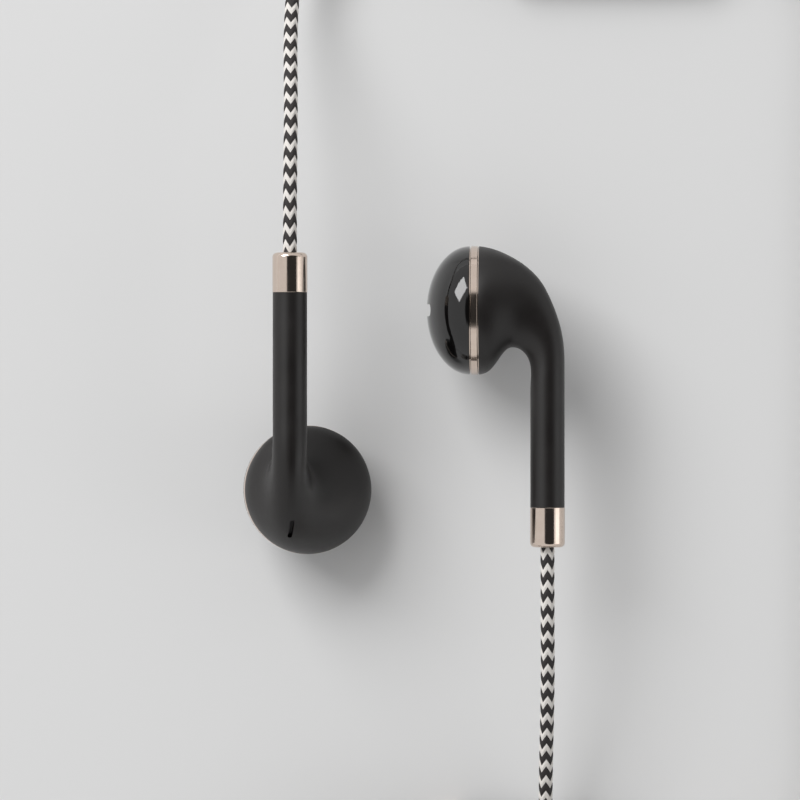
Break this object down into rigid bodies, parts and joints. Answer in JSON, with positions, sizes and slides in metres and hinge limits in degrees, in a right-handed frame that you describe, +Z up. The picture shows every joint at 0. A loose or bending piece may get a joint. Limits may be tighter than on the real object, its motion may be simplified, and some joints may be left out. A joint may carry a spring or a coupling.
{
  "type": "wired earphones",
  "caption": "Pair of wired open-fit earbuds with round heads, straight stems and a braided cord with in-line remote, splitter and stereo plug.",
  "frame": {"origin": "on the table, under the middle of the two buds", "axes": "+Z up from the table; +X from the right-ear bud towards the left-ear bud; the left-ear bud's stem points to -Y and the right-ear bud's to +Y"},
  "size_m": [0.0762, 0.141, 0.0188],
  "materials": {
    "shell_black": "satin moulded",
    "cover_black": "polished moulded",
    "rose_metal": "polished rose gold plating",
    "steel": "plated",
    "magnet": "nickel plated",
    "film": "clear film",
    "copper": "enamelled wire",
    "frame_plastic": "moulded",
    "board": "lacquered",
    "screen": "fine woven mesh",
    "braid": "black and white braided yarn",
    "cord_core": "knotted braid",
    "soft_black": "moulded soft plastic",
    "contact_gold": "plated",
    "insulator": "moulded"
  },
  "bodies": {
    "earphones": {"hank_tie": "soft_black", "left_back_shell": "shell_black", "left_cord": "braid", "left_cord_coil": "braid", "left_cord_knot": "cord_core", "left_cord_tail": "braid", "left_driver_frame": "frame_plastic", "left_ferrule": "rose_metal", "left_front_cover": "cover_black", "left_front_screen": "screen", "left_lead_wires": "copper", "left_magnet": "magnet", "left_strain_bush": "soft_black", "left_surround": "film", "left_terminal_board": "board", "left_top_plate": "steel", "left_trim_ring": "rose_metal", "left_vent_screen": "screen", "left_yoke": "steel", "main_lead": "braid", "main_lead_end": "braid", "main_lead_hank": "braid", "plug_core": "insulator", "plug_insulators": "insulator", "plug_relief": "soft_black", "plug_ring_front": "contact_gold", "plug_ring_rear": "contact_gold", "plug_shell": "rose_metal", "plug_sleeve": "contact_gold", "plug_tip": "contact_gold", "remote_back": "shell_black", "remote_board": "board", "remote_front": "shell_black", "remote_microphone": "steel", "remote_switch": "frame_plastic", "right_back_shell": "shell_black", "right_cord_knot": "cord_core", "right_cord_lower": "braid", "right_cord_upper": "braid", "right_driver_frame": "frame_plastic", "right_ferrule": "rose_metal", "right_front_cover": "cover_black", "right_front_screen": "screen", "right_lead_wires": "copper", "right_magnet": "magnet", "right_strain_bush": "soft_black", "right_surround": "film", "right_terminal_board": "board", "right_top_plate": "steel", "right_trim_ring": "rose_metal", "right_vent_screen": "screen", "right_yoke": "steel", "splitter_body": "shell_black", "splitter_collar": "rose_metal"},
    "left_film": {"left_diaphragm": "film", "left_voice_coil": "copper"},
    "right_film": {"right_diaphragm": "film", "right_voice_coil": "copper"},
    "button": {"remote_button": "cover_black"}
  },
  "joints": [
    {"name": "left_diaphragm_stroke", "type": "slide", "parent": "earphones", "child": "left_film", "axis": [-0.9996, 0, -0.0279], "range_m": [-0.0002, 0.0002], "stiffness_N_per_m": 60},
    {"name": "right_diaphragm_stroke", "type": "slide", "parent": "earphones", "child": "right_film", "axis": [-0.1736, 0, -0.9848], "range_m": [-0.0002, 0.0002], "stiffness_N_per_m": 60},
    {"name": "button_press", "type": "slide", "parent": "earphones", "child": "button", "axis": [0, 0, -1], "range_m": [0, 0.00025], "stiffness_N_per_m": 400, "springref_m": -0.0005}
  ]
}
